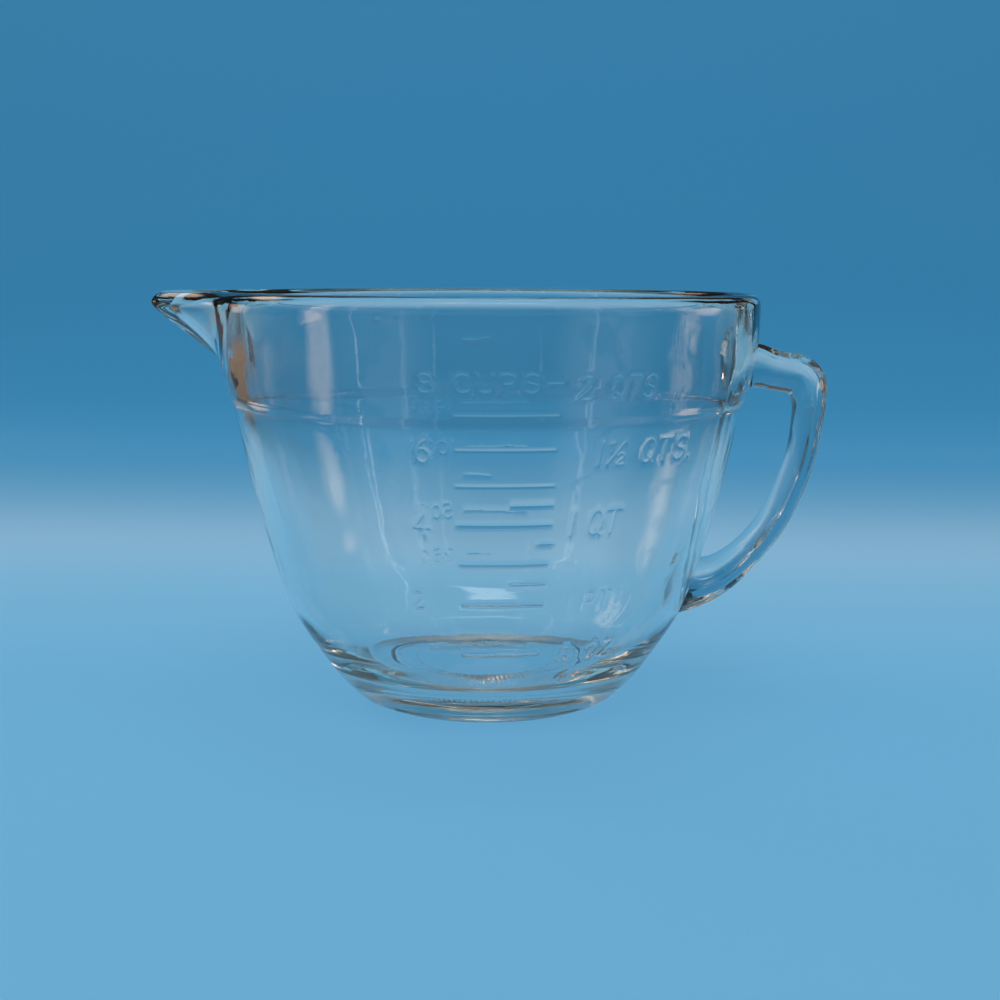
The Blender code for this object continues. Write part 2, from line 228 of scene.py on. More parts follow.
def base_outline():
    """(radius, height, outer share) from the recess, up the outside, over the rim and down to the floor."""
    rows = [(OUTLINE_FROM, RECESS_TOP, 1.0), (RECESS_EDGE, RECESS_TOP, 1.0), (FOOT_INNER, 0.0, 1.0)]
    rows += [(float(curve_through(WALL_OUTSIDE, z)), z, 1.0) for z in np.linspace(0, STEP_LOW, 200)]
    top = HEIGHT - RIM_ROUND_OUTER
    rows += [(float(curve_through(COLLAR_OUTSIDE, z)), z, 1.0) for z in np.linspace(STEP_HIGH, top, 60)]
    outer, inner = rows[-1][0], float(curve_through(INSIDE, HEIGHT - RIM_ROUND_INNER))
    crest = inner + RIM_CREST * (outer - inner)
    for t in np.linspace(0, math.pi / 2, 24)[1:]:
        r = crest + (outer - crest) * math.cos(t)
        rows.append((r, top + RIM_ROUND_OUTER * math.sin(t), (r - inner) / (outer - inner)))
    for t in np.linspace(0, math.pi / 2, 24)[1:]:
        r = crest - (crest - inner) * math.sin(t)
        rows.append((r, HEIGHT - RIM_ROUND_INNER * (1 - math.cos(t)), (r - inner) / (outer - inner)))
    heights = np.linspace(HEIGHT - RIM_ROUND_INNER, INSIDE[0][0], 300)[1:]
    rows += [(float(curve_through(INSIDE, z)), z, 0.0) for z in heights]
    rows += [(r, dish_height(r), 0.0) for r in np.linspace(FLOOR_FROM, OUTLINE_TO, 12)]
    return np.array(rows)


OUTLINE_STEP = 0.1
CORNER_SOFTNESS = 0.45  # mm over which a corner is rounded


def smooth_outline():
    """Places along the outline, evenly spaced, and its rows there with every corner rounded."""
    rows = base_outline()
    along = np.concatenate([[0], np.cumsum(np.hypot(*np.diff(rows[:, :2], axis=0).T))])
    t = np.arange(0, along[-1], OUTLINE_STEP)
    even = np.stack([np.interp(t, along, rows[:, i]) for i in range(3)], 1)
    reach = int(4 * CORNER_SOFTNESS / OUTLINE_STEP)
    weights = np.exp(-0.5 * (np.arange(-reach, reach + 1) * OUTLINE_STEP / CORNER_SOFTNESS) ** 2)
    weights /= weights.sum()
    padded = np.pad(even, ((reach, reach), (0, 0)), mode="edge")
    smooth = np.stack([np.convolve(padded[:, i], weights, "valid") for i in range(3)], 1)
    return t[reach:-reach], smooth[reach:-reach]


ALONG, OUTLINE = smooth_outline()
TOP_INDEX = int(np.argmax(OUTLINE[:, 1]))
SLOPES = np.gradient(OUTLINE[:, :2], ALONG, axis=0)


def outside_along(height):
    """The place along the outline where the outer wall has this height."""
    first = int(np.searchsorted(OUTLINE[: TOP_INDEX + 1, 0], FOOT_MIDDLE))
    return np.interp(height, OUTLINE[first:TOP_INDEX, 1], ALONG[first:TOP_INDEX])


def soft_push(height, reach):
    """How far the spout pushes the wall out at a height: not at all, then on a slope, then its full reach."""
    rise = SPOUT_SLOPE * SPOUT_SOFTNESS * np.log1p(np.exp((height - SPOUT_START) / SPOUT_SOFTNESS))
    return -SPOUT_SOFTNESS * np.log(np.exp(-rise / SPOUT_SOFTNESS) + math.exp(-reach / SPOUT_SOFTNESS))


def spout_share(angle, push):
    """The share of that push at an angle from the spout's middle, which peaks there in a rounded V."""
    fullness = push / SPOUT_OUTER_REACH
    half_angle = SPOUT_HALF_ANGLE_LOW + (SPOUT_HALF_ANGLE - SPOUT_HALF_ANGLE_LOW) * fullness
    across = np.hypot(angle / half_angle, SPOUT_TIP_ROUND) - SPOUT_TIP_ROUND
    return np.clip(1 - across, 0, None) ** SPOUT_POWER


INSIDE_WAVES = ((0.07, 14.0, 26.0), (0.028, 6.0, 7.0))  # height, size round the bowl, size up it, in mm
OUTSIDE_WAVES = ((0.035, 21.0, 34.0), (0.010, 6.0, 10.0))
STILL_HEIGHT = 6.0  # the waves fade out below this, so that the foot stays flat
OUTSIDE_SEED = 3.0
INSIDE_SEED = 11.0


def wave(theta, radius, height, waves, seed):
    """How far the surface is off its even shape there, in mm."""
    total = 0.0
    for size, across, up in waves:
        x, y = radius * math.cos(theta), radius * math.sin(theta)
        place = Vector((x / across, y / across, height / up + seed))
        total += size * noise.noise(place, noise_basis="PERLIN_NEW")
    return total


def surface(theta, along):
    """Points of the glass surface, in mm, at angles round the axis and places along the outline."""
    theta, along = np.asarray(theta, float), np.asarray(along, float)
    r = np.interp(along, ALONG, OUTLINE[:, 0])
    z = np.interp(along, ALONG, OUTLINE[:, 1])
    outer_share = np.interp(along, ALONG, OUTLINE[:, 2])
    away = np.abs(theta % (2 * math.pi) - math.pi)
    outer_push = soft_push(np.minimum(z, HEIGHT - RIM_ROUND_OUTER), SPOUT_OUTER_REACH)
    inner_push = soft_push(np.minimum(z, HEIGHT - RIM_ROUND_INNER) - SPOUT_INNER_RISE, SPOUT_INNER_REACH)
    r = r + outer_share * outer_push * spout_share(away, outer_push)
    r = r + (1 - outer_share) * inner_push * spout_share(away, inner_push)
    outer_wave = [wave(*place, OUTSIDE_WAVES, OUTSIDE_SEED) for place in zip(theta, r, z)]
    inner_wave = [wave(*place, INSIDE_WAVES, INSIDE_SEED) for place in zip(theta, r, z)]
    ripple = outer_share * np.array(outer_wave) + (1 - outer_share) * np.array(inner_wave)
    r = r + ripple * np.clip(z / STILL_HEIGHT, 0, 1)
    return np.stack([r * np.cos(theta), r * np.sin(theta), z], 1)


def outward(theta, along):
    """The direction out of the glass at those places, where the spout doesn't reach."""
    dr = np.interp(along, ALONG, SLOPES[:, 0])
    dz = np.interp(along, ALONG, SLOPES[:, 1])
    return np.stack([dz * np.cos(theta), dz * np.sin(theta), -dr], 1)


# ---------------------------------------------------------------- rows and columns


WIDEST_ROW = 2.3
WIDEST_ROW_HIGH = 1.5  # from the height where the spout begins
SPOUT_ROWS_FROM = 112.0
ROWS_PER_TURN = 7.0  # for each radian that the outline bends
DENSEST_ROWS = 2.4  # for each mm


def row_places():
    """Places along the outline, closer together where it bends."""
    turn = np.unwrap(np.arctan2(SLOPES[:, 1], SLOPES[:, 0]))
    bend = np.abs(np.gradient(turn, ALONG))
    z = OUTLINE[:, 1]
    widest = np.where(z > SPOUT_ROWS_FROM, WIDEST_ROW_HIGH, WIDEST_ROW)
    density = np.maximum(1 / widest, np.minimum(bend * ROWS_PER_TURN, DENSEST_ROWS))
    count = np.concatenate([[0], np.cumsum((density[1:] + density[:-1]) / 2 * np.diff(ALONG))])
    steps = int(round(count[-1]))
    return np.interp(np.linspace(0, count[-1], steps + 1), count, ALONG)


# Degrees from, to and between the columns: at the handle, the far side, the spout and the near side
COLUMN_STEPS = ((-12, 12, 0.7), (12, 152, 1.4), (152, 208, 0.5), (208, 348, 1.4))


def column_angles():
    """Angles round the axis, closer together at the spout and at the handle's roots."""
    angles = []
    for start, end, step in COLUMN_STEPS:
        angles += list(np.linspace(start, end, round((end - start) / step) + 1)[:-1])
    return np.radians(np.array(angles))


# ---------------------------------------------------------------- the scale


def label_strokes(text, low, high, slant):
    """A label's lines as (across, up) in mm from its lower left corner."""
    height = high - low
    x, strokes = 0.0, []
    for character in text:
        for stroke in STROKES.get(character, []):
            strokes.append([((x + px + slant * (py - 0.5)) * height, py * height) for px, py in stroke])
        x += ADVANCE.get(character, USUAL_ADVANCE)
    return strokes


def resampled(points, step):
    points = np.array(points, float)
    along = np.concatenate([[0], np.cumsum(np.hypot(*np.diff(points, axis=0).T))])
    count = max(2, int(math.ceil(along[-1] / step)) + 1)
    t = np.linspace(0, along[-1], count)
    return np.stack([np.interp(t, along, points[:, 0]), np.interp(t, along, points[:, 1])], 1)


def mark_strokes(kind, middle):
    """Each mark's line, as its first and last angle and its height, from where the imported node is."""
    lines = []
    for name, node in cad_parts.items():
        belongs = name.startswith("mark_") and name.endswith("ml") == (kind == "ml")
        if not belongs:
            continue
        points = np.array([v.co for v in node.data.vertices])
        angles = np.degrees(np.arctan2(points[:, 1], points[:, 0]))
        angles = (angles - middle + 180) % 360 - 180
        height = (points[:, 2].min() + points[:, 2].max()) / 2 / MM
        lines.append((angles.min() + MARK_INSET, angles.max() - MARK_INSET, height))
    return lines


def radius_outside(height):
    return float(curve_through(WALL_OUTSIDE if height < STEP_LOW else COLLAR_OUTSIDE, height))


def mark_line(mark, middle):
    start, end, height = mark
    radius = radius_outside(height)
    width = math.radians(end - start) * radius
    across = resampled([(0, 0), (width, 0)], STROKE_STEP)[:, 0]
    theta = math.radians(middle + start) + across / radius
    return theta, np.full(len(theta), outside_along(height)), radius


def label_lines(label, middle):
    """A label's lines, fitted to its width; a single numeral keeps the width that its height gives."""
    text, start, end, low, high, slant = label
    radius = radius_outside((low + high) / 2)
    strokes = label_strokes(text, low, high, slant)
    left = min(x for stroke in strokes for x, _ in stroke)
    right = max(x for stroke in strokes for x, _ in stroke)
    stretch = 1.0 if len(text) == 1 else math.radians(end - start) * radius / (right - left)
    lines = []
    for stroke in strokes:
        fitted = resampled([((x - left) * stretch, y * LEAN_STRETCH) for x, y in stroke], STROKE_STEP)
        theta = math.radians(middle + start) + fitted[:, 0] / radius
        lines.append((theta, outside_along(low) + fitted[:, 1], radius))
    return lines


def scale_lines(kind, middle, labels):
    """Every raised line, as closely spaced angles and places along the outline, and the radius there."""
    lines = [mark_line(mark, middle) for mark in mark_strokes(kind, middle)]
    for label in labels:
        lines += label_lines(label, middle)
    return lines


def rail_points(lines):
    """Points along and beside every line, as (theta, along), in order of importance."""
    middle, beside = [], []
    for theta, along, radius in lines:
        flat = np.stack([theta * radius, along], 1)
        steps = np.gradient(flat, axis=0)
        steps /= np.maximum(np.linalg.norm(steps, axis=1), 1e-9)[:, None]
        normal = np.stack([-steps[:, 1], steps[:, 0]], 1)
        middle += [(x / radius, y) for x, y in flat]
        for offset in RAILS[1:]:
            for side in (-1, 1):
                beside += [(offset, x / radius, y) for x, y in flat + normal * offset * side]
            for end, forward in ((0, -1), (-1, 1)):
                heading = math.atan2(*(steps[end] * forward)[::-1])
                for turn in np.radians((-45, 0, 45)):
                    x, y = flat[end] + offset * np.array([math.cos(heading + turn), math.sin(heading + turn)])
                    beside.append((offset, x / radius, y))
    beside.sort(key=lambda item: item[0])
    return middle + [item[1:] for item in beside]


def thinned(points, scale, gap):
    """The points, leaving out any nearer than the gap to one that is kept already."""
    kept, cells = [], {}
    for theta, along in points:
        x, y = theta * scale, along
        cell = (int(math.floor(x / gap)), int(math.floor(y / gap)))
        near = [q for i in (-1, 0, 1) for j in (-1, 0, 1) for q in cells.get((cell[0] + i, cell[1] + j), [])]
        if any(math.hypot(x - a, y - b) < gap for a, b in near):
            continue
        cells.setdefault(cell, []).append((x, y))
        kept.append((theta, along))
    return kept


def stroke_tree(lines):
    dense = []
    for theta, along, _ in lines:
        t = np.linspace(0, 1, len(theta))
        fine = np.linspace(0, 1, (len(theta) - 1) * STROKE_FINENESS + 1)
        dense.append(np.stack([np.interp(fine, t, theta), np.interp(fine, t, along)], 1))
    dense = np.concatenate(dense)
    points = surface(dense[:, 0], dense[:, 1])
    tree = kdtree.KDTree(len(points))
    for i, point in enumerate(points):
        tree.insert(point, i)
    tree.balance()
    return tree


def embossed(theta, along, tree):
    """The surface there, raised where it is near a line of the scale, and the distance to that line."""
    base = surface(theta, along)
    distance = np.array([tree.find(point)[2] for point in base])
    near = np.clip(distance / STROKE_HALF_WIDTH, 0, 1)
    lift = STROKE_RAISE * (0.5 + 0.5 * np.cos(math.pi * near))
    return base + outward(theta, along) * lift[:, None], distance


# ---------------------------------------------------------------- the mesh


class Mesh:
    def __init__(self):
        self.points = []
        self.faces = []

    def add(self, points):
        start = len(self.points)
        self.points += [tuple(point) for point in points]
        return list(range(start, start + len(points)))

    def add_flat(self, flat, indices):
        """Triangles over points laid out flat, each of which is in the mesh under its index."""
        made = delaunay_2d_cdt([Vector(point) for point in flat], [], [], 0, 1e-7)
        names = [indices[min(originals)] for originals in made[3]]
        self.faces += [tuple(names[v] for v in face) for face in made[2]]


def panel_spans(rows, columns):
    """Each scale's first and last row and column in the grid."""
    spans = []
    for _, middle, start, end, low, high, _ in PANELS:
        along = outside_along(np.array([low, high]))
        first_row, last_row = (int(np.argmin(np.abs(rows - a))) for a in along)
        angles = np.degrees(columns)
        wanted = [(middle + edge) % 360 for edge in (start, end)]
        first_column, last_column = (int(np.argmin(np.abs(angles - w))) for w in wanted)
        spans.append((first_row, last_row, first_column, last_column))
    return spans


def add_grid(mesh, rows, columns, spans):
    """The wall's faces in rows and columns, but for the panels, and the index of every place in the grid."""
    theta, along = np.meshgrid(columns, rows)
    grid = np.array(mesh.add(surface(theta.ravel(), along.ravel()))).reshape(theta.shape)
    count = len(columns)
    for k in range(len(rows) - 1):
        for j in range(count):
            if any(r0 <= k < r1 and c0 <= j < c1 for r0, r1, c0, c1 in spans):
                continue
            n = (j + 1) % count
            mesh.faces.append((grid[k][j], grid[k][n], grid[k + 1][n], grid[k + 1][j]))
    return grid


FLAT_RADIUS = 85.0  # the wall is laid out flat as if it had this radius


def border_cells(span):
    """The grid's places round a panel, in order."""
    r0, r1, c0, c1 = span
    cells = [(r0, c) for c in range(c0, c1)] + [(r, c1) for r in range(r0, r1)]
    return cells + [(r1, c) for c in range(c1, c0, -1)] + [(r, c0) for r in range(r1, r0, -1)]


def panel_points(rows, columns, span, lines, tree):
    """Places on a panel: close together along its lines, and the grid's own places between them."""
    r0, r1, c0, c1 = span
    inside = [(columns[c], rows[r]) for r in range(r0 + 1, r1) for c in range(c0 + 1, c1)]
    _, distance = embossed(*np.array(inside).T, tree)
    clear = [p for p, d in zip(inside, distance) if d > STROKE_HALF_WIDTH + STROKE_MARGIN]
    return thinned(rail_points(lines), FLAT_RADIUS, RAIL_GAP) + clear


def add_panel(mesh, grid, rows, columns, span, panel):
    """The part of the wall that carries a scale, with the scale raised out of it."""
    kind, middle, _, _, _, _, labels = panel
    lines = scale_lines(kind, middle, labels)
    if middle < 0:
        lines = [(theta + 2 * math.pi, along, radius) for theta, along, radius in lines]
    tree = stroke_tree(lines)
    cells = border_cells(span)
    border = [(columns[c], rows[r]) for r, c in cells]
    points = panel_points(rows, columns, span, lines, tree)
    raised, _ = embossed(*np.array(points).T, tree)
    indices = [int(grid[r][c]) for r, c in cells] + mesh.add(raised)
    mesh.add_flat([(t * FLAT_RADIUS, a) for t, a in border + points], indices)


def underside_height(x, y):
    """The height of the flat foot, the recess within it and the ring of ridges in the recess."""
    r = math.hypot(x, y)
    ends = np.clip(min(r - STIPPLE_INNER, STIPPLE_OUTER - r) / STIPPLE_FADE, 0, 1)
    groove = 0.5 - 0.5 * math.cos(STIPPLE_RIDGES * math.atan2(y, x))
    level = np.interp(r, (RECESS_EDGE, FOOT_INNER), (RECESS_TOP, 0.0))
    return level + STIPPLE_HEIGHT * groove * (3 - 2 * ends) * ends**2


def floor_height(x, y):
    return dish_height(math.hypot(x, y))


FOOT_CIRCLES = (46.8, 45.4, 43.6, 41.8, 40.0, 38.6, 38.0, 37.3, 36.6, 36.0)  # radii of circles of points
FOOT_CIRCLE_POINTS = 220
FOOT_CIRCLE_TURN = 0.3  # radians, so that no point of theirs is in line with the ridges' points
RIDGE_CIRCLES = 9
RIDGE_CIRCLE_MARGIN = 0.1  # how far they reach beyond the ridges
MIDDLE_GAP = 0.3  # between the ridges' circles and the middle's
CIRCLE_STEP = 2.2
CIRCLE_INSET = 1.8
SMALLEST_CIRCLE = 1.5
FEWEST_POINTS = 8


def middle_circles(edge):
    """Circles of points within a radius, as (radius, number of points, first angle)."""
    circles = []
    radius = edge - CIRCLE_INSET
    while radius > SMALLEST_CIRCLE:
        count = max(FEWEST_POINTS, int(2 * math.pi * radius / CIRCLE_STEP))
        circles.append((radius, count, radius))
        radius -= CIRCLE_STEP
    return circles


def underside_circles():
    inner, outer = STIPPLE_INNER - RIDGE_CIRCLE_MARGIN, STIPPLE_OUTER + RIDGE_CIRCLE_MARGIN
    circles = [(r, POINTS_PER_RIDGE * STIPPLE_RIDGES, 0.0) for r in np.linspace(inner, outer, RIDGE_CIRCLES)]
    circles += [(r, FOOT_CIRCLE_POINTS, FOOT_CIRCLE_TURN) for r in FOOT_CIRCLES]
    return circles + middle_circles(inner - MIDDLE_GAP)


def add_disc(mesh, ring, circles, height):
    """A level part of the glass inside a ring of points, at the height that a function gives."""
    points = [(0.0, 0.0)]
    for radius, count, phase in circles:
        angles = phase + np.arange(count) * 2 * math.pi / count
        points += [(radius * math.cos(a), radius * math.sin(a)) for a in angles]
    border = [mesh.points[i][:2] for i in ring]
    new = mesh.add([(x, y, height(x, y)) for x, y in points])
    mesh.add_flat(border + points, list(ring) + new)


GRID_FROM = 47.5  # the radius on the foot where the wall's grid begins
GRID_TO = 33.0  # and the one on the floor where it ends


def wall_rows():
    """The rows from the edge of the foot, up and over the rim and down to the middle of the floor."""
    rows = row_places()
    rows = rows[int(np.searchsorted(np.interp(rows, ALONG, OUTLINE[:, 0]), GRID_FROM)) :]
    last = len(rows) - 1
    while OUTLINE[np.searchsorted(ALONG, rows[last]) - 1, 0] < GRID_TO:
        last -= 1
    return rows[: last + 1]


def bowl_mesh():
    """The whole bowl without its handle, as one closed skin."""
    mesh = Mesh()
    rows, columns = wall_rows(), column_angles()
    spans = panel_spans(rows, columns)
    grid = add_grid(mesh, rows, columns, spans)
    for span, panel in zip(spans, PANELS):
        add_panel(mesh, grid, rows, columns, span, panel)
    floor_ring = [int(i) for i in grid[-1]]
    floor_edge = math.hypot(*mesh.points[floor_ring[0]][:2])
    add_disc(mesh, [int(i) for i in grid[0]], underside_circles(), underside_height)
    add_disc(mesh, floor_ring, middle_circles(floor_edge), floor_height)
    return mesh


def mesh_object(name, points, faces):
    data = bpy.data.meshes.new(name)
    data.from_pydata([tuple(c * MM for c in point) for point in points], [], faces)
    shape = bmesh.new()
    shape.from_mesh(data)
    loose = [v for v in shape.verts if not v.link_faces]
    bmesh.ops.delete(shape, geom=loose, context="VERTS")
    bmesh.ops.recalc_face_normals(shape, faces=shape.faces)
    shape.to_mesh(data)
    shape.free()
    obj = bpy.data.objects.new(name, data)
    bpy.context.scene.collection.objects.link(obj)
    return obj


# ---------------------------------------------------------------- the handle


def handle_station(place):
    """A station's values at a place between the listed ones, on a smooth curve through them."""
    index = min(int(place), len(HANDLE_STATIONS) - 2)
    t = place - index
    near = np.clip(range(index - 1, index + 3), 0, len(HANDLE_STATIONS) - 1)
    before, start, end, after = (np.array(HANDLE_STATIONS[i]) for i in near)
    bend = 2 * before - 5 * start + 4 * end - after
    twist = 3 * (start - end) + after - before
    return start + ((end - before) * t + bend * t**2 + twist * t**3) / 2


def handle_ripple(turn, place):
    """Lengthwise ripples that the mould left on the handle's outer half, in mm."""
    share = np.clip(0.2 + 1.6 * math.cos(turn), 0, 1)  # fades out towards the inner half
    run = place * STATION_LENGTH / HANDLE_RIPPLE_LENGTH
    spot = Vector((turn * HANDLE_RIPPLES, run, HANDLE_SEED))
    return HANDLE_RIPPLE_HEIGHT * share * noise.noise(spot, noise_basis="PERLIN_NEW")


def handle_outwards(place):
    """The direction across the handle, away from the finger gap."""
    step = 0.1
    last = len(HANDLE_STATIONS) - 1
    ahead, behind = handle_station(min(place + step, last)), handle_station(max(place - step, 0))
    along = Vector((ahead[0] - behind[0], 0.0, ahead[1] - behind[1])).normalized()
    return Vector((-along.z, 0.0, along.x))


def handle_ring(place):
    """Points round the handle's section."""
    x, z, depth, width = handle_station(place)
    outwards = handle_outwards(place)
    ring = []
    for i in range(HANDLE_SIDES):
        turn = 2 * math.pi * i / HANDLE_SIDES
        cosine, sine = math.cos(turn), math.sin(turn)
        power = HANDLE_OUTER_SQUARENESS if cosine > 0 else HANDLE_SQUARENESS
        size = (abs(cosine) ** power + abs(sine) ** power) ** (-1 / power)
        offset = outwards * (depth / 2 * size * cosine) + Vector((0, width / 2 * size * sine, 0))
        ring.append(Vector((x, 0.0, z)) + offset * (1 + handle_ripple(turn, place) / offset.length))
    return ring


def outside_radius(z):
    return float(np.interp(outside_along(z), ALONG, OUTLINE[:, 0]))


def held_in_wall(point):
    """The point, moved out to lie in the middle of the wall where it would stand inside the bowl."""
    least = outside_radius(min(max(point.z, 1.0), HEIGHT - RIM_MARGIN)) - ROOT_DEPTH
    radius = math.hypot(point.x, point.y)
    if radius >= least:
        return point
    return Vector((math.sqrt(max(least**2 - point.y**2, 1.0)), point.y, point.z))


def is_buried(ring):
    depth = ROOT_DEPTH - ROOT_SLACK
    return all(math.hypot(point.x, point.y) < outside_radius(point.z) - depth for point in ring)


def handle_rings():
    """Evenly spaced sections, which begin and end with one that is wholly within the wall."""
    fine = np.linspace(0, len(HANDLE_STATIONS) - 1, 400)
    middles = np.array([handle_station(place)[:2] for place in fine])
    along = np.concatenate([[0], np.cumsum(np.hypot(*np.diff(middles, axis=0).T))])
    places = np.interp(np.arange(0, along[-1], HANDLE_RING_STEP), along, fine)
    rings = [[held_in_wall(point) for point in handle_ring(place)] for place in places]
    half, last = len(rings) // 2, len(rings) - 1
    start = max(i for i in range(half) if i == 0 or is_buried(rings[i]))
    end = min(i for i in range(half, len(rings)) if i == last or is_buried(rings[i]))
    return rings[start : end + 1]


def handle_object():
    rings = handle_rings()
    points = [point for ring in rings for point in ring]
    n = HANDLE_SIDES
    faces = [
        (k * n + i, k * n + (i + 1) % n, (k + 1) * n + (i + 1) % n, (k + 1) * n + i)
        for k in range(len(rings) - 1)
        for i in range(n)
    ]
    faces += [tuple(range(n)), tuple(range((len(rings) - 1) * n, len(rings) * n))]
    return mesh_object("handle", points, faces)


CREASE_ANGLE = math.radians(42)  # a sharper meeting of faces stays a crease


def join_handle(bowl, handle):
    """Makes the handle and the bowl one skin, as they are in a pressing."""
    union = bowl.modifiers.new("handle", "BOOLEAN")
    union.operation = "UNION"
    union.object = handle
    union.solver = "MANIFOLD"
    evaluated = bowl.evaluated_get(bpy.context.evaluated_depsgraph_get())
    joined = bpy.data.meshes.new_from_object(evaluated)
    bowl.modifiers.clear()
    bowl.data = joined
    bpy.data.objects.remove(handle)


# ---------------------------------------------------------------- glass


FOOT_ROUGHNESS = 0.25
FOOT_MATT = (0.6, 0.2)  # mm up, from where the foot is still clear down to where it is fully matt
RIDGE_ROUGHNESS = 0.15
RIDGES_MATT = (3.2, 2.8)  # the same for the ridges, which lie below these heights
WORN_ROUGHNESS = 0.03
WORN_SHARE = (0.45, 0.8)  # of the noise's range, from none to all of that roughness


def band(nodes, links, along, span, height, unit=1.0):
    """A value that rises from nothing to a height over a span of a coordinate."""
    rise = nodes.new("ShaderNodeMapRange")
    rise.inputs["From Min"].default_value = span[0] * unit
    rise.inputs["From Max"].default_value = span[1] * unit
    rise.inputs["To Max"].default_value = height
    links.new(along, rise.inputs["Value"])
    return rise.outputs["Result"]


def product(nodes, links, first, second):
    both = nodes.new("ShaderNodeMath")
    both.operation = "MULTIPLY"
    links.new(first, both.inputs[0])
    links.new(second, both.inputs[1])
    return both.outputs["Value"]


def highest(nodes, links, first, second):
    either = nodes.new("ShaderNodeMath")
    either.operation = "MAXIMUM"
    links.new(first, either.inputs[0])
    links.new(second, either.inputs[1])
    return either.outputs["Value"]


def handling_marks(nodes, links, place):
    """Fine marks of use, which leave the polish a little uneven."""
    marks = nodes.new("ShaderNodeTexNoise")
    marks.inputs["Scale"].default_value = 60.0
    marks.inputs["Detail"].default_value = 5.0
    links.new(place, marks.inputs["Vector"])
    return band(nodes, links, marks.outputs["Fac"], WORN_SHARE, WORN_ROUGHNESS)


def distance_from_axis(nodes, links, place):
    flat = nodes.new("ShaderNodeVectorMath")
    flat.operation = "MULTIPLY"
    flat.inputs[1].default_value = (1.0, 1.0, 0.0)
    length = nodes.new("ShaderNodeVectorMath")
    length.operation = "LENGTH"
    links.new(place, flat.inputs[0])
    links.new(flat.outputs["Vector"], length.inputs[0])
    return length.outputs["Value"]


def matt_parts(nodes, links, place):
    """The roughness of the flat foot that the bowl stands on, and of the ring of ridges."""
    split = nodes.new("ShaderNodeSeparateXYZ")
    links.new(place, split.inputs["Vector"])
    height, radius = split.outputs["Z"], distance_from_axis(nodes, links, place)
    foot = band(nodes, links, height, FOOT_MATT, FOOT_ROUGHNESS, MM)
    low = band(nodes, links, height, RIDGES_MATT, 1.0, MM)
    within = band(nodes, links, radius, (STIPPLE_OUTER + STIPPLE_FADE, STIPPLE_OUTER), 1.0, MM)
    inner = (STIPPLE_INNER - STIPPLE_FADE, STIPPLE_INNER)
    beyond_middle = band(nodes, links, radius, inner, RIDGE_ROUGHNESS, MM)
    ridges = product(nodes, links, product(nodes, links, low, within), beyond_middle)
    return highest(nodes, links, foot, ridges)


def mould_grain(nodes, links, place):
    """The slope of the mould's own grain, and of the faint orange-peel of a fire-polished skin."""
    grain = nodes.new("ShaderNodeTexNoise")
    grain.inputs["Scale"].default_value = 220.0
    grain.inputs["Detail"].default_value = 3.0
    bump = nodes.new("ShaderNodeBump")
    bump.inputs["Strength"].default_value = 0.25
    bump.inputs["Distance"].default_value = 0.06 * MM
    links.new(place, grain.inputs["Vector"])
    links.new(grain.outputs["Fac"], bump.inputs["Height"])
    return bump.outputs["Normal"]


def glass_material():
    """Clear glass that is tinted by its own depth, with a matt foot and ridges."""
    material = bpy.data.materials.new("pressed_glass")
    material.use_nodes = True
    nodes, links = material.node_tree.nodes, material.node_tree.links
    shader = nodes["Principled BSDF"]
    shader.inputs["Base Color"].default_value = (0.985, 0.995, 0.992, 1.0)
    shader.inputs["IOR"].default_value = 1.5
    shader.inputs["Transmission Weight"].default_value = 1.0
    place = nodes.new("ShaderNodeTexCoord").outputs["Object"]
    rough = highest(nodes, links, handling_marks(nodes, links, place), matt_parts(nodes, links, place))
    links.new(rough, shader.inputs["Roughness"])
    links.new(mould_grain(nodes, links, place), shader.inputs["Normal"])
    absorb = nodes.new("ShaderNodeVolumeAbsorption")
    absorb.inputs["Color"].default_value = (0.82, 0.85, 0.72, 1.0)
    absorb.inputs["Density"].default_value = 6.5
    links.new(absorb.outputs["Volume"], nodes["Material Output"].inputs["Volume"])
    return material


# ---------------------------------------------------------------- studio and camera

CAMERA_TURN = math.radians(1.8)
CAMERA_PLACE = Vector((0.0046, -0.4854, 0.1518))
CAMERA_PITCH = math.radians(9.73)
CAMERA_ROLL = math.radians(0.28)
CAMERA_LENS = 48.3


def make_camera():
    data = bpy.data.cameras.new("camera")
    data.lens = CAMERA_LENS
    data.sensor_width = 36.0
    camera = bpy.data.objects.new("camera", data)
    turn = Matrix.Rotation(CAMERA_TURN, 4, "Z")
    tilt = Matrix.Rotation(math.pi / 2 - CAMERA_PITCH, 4, "X")
    roll = Matrix.Rotation(CAMERA_ROLL, 4, "Z")
    camera.matrix_world = turn @ Matrix.Translation(CAMERA_PLACE) @ tilt @ roll
    bpy.context.scene.collection.objects.link(camera)
    bpy.context.scene.camera = camera


# The room's shade by the height that a direction has, from straight down to straight up
ROOM_SHADES = (
    (-1.0, (0.012, 0.016, 0.020)),
    (0.05, (0.012, 0.018, 0.024)),
    (0.35, (0.035, 0.036, 0.036)),
    (0.60, (0.150, 0.125, 0.098)),
    (1.0, (0.270, 0.240, 0.205)),
)
COOL = (0.94, 0.97, 1.0)
WARM = (1.0, 0.72, 0.52)
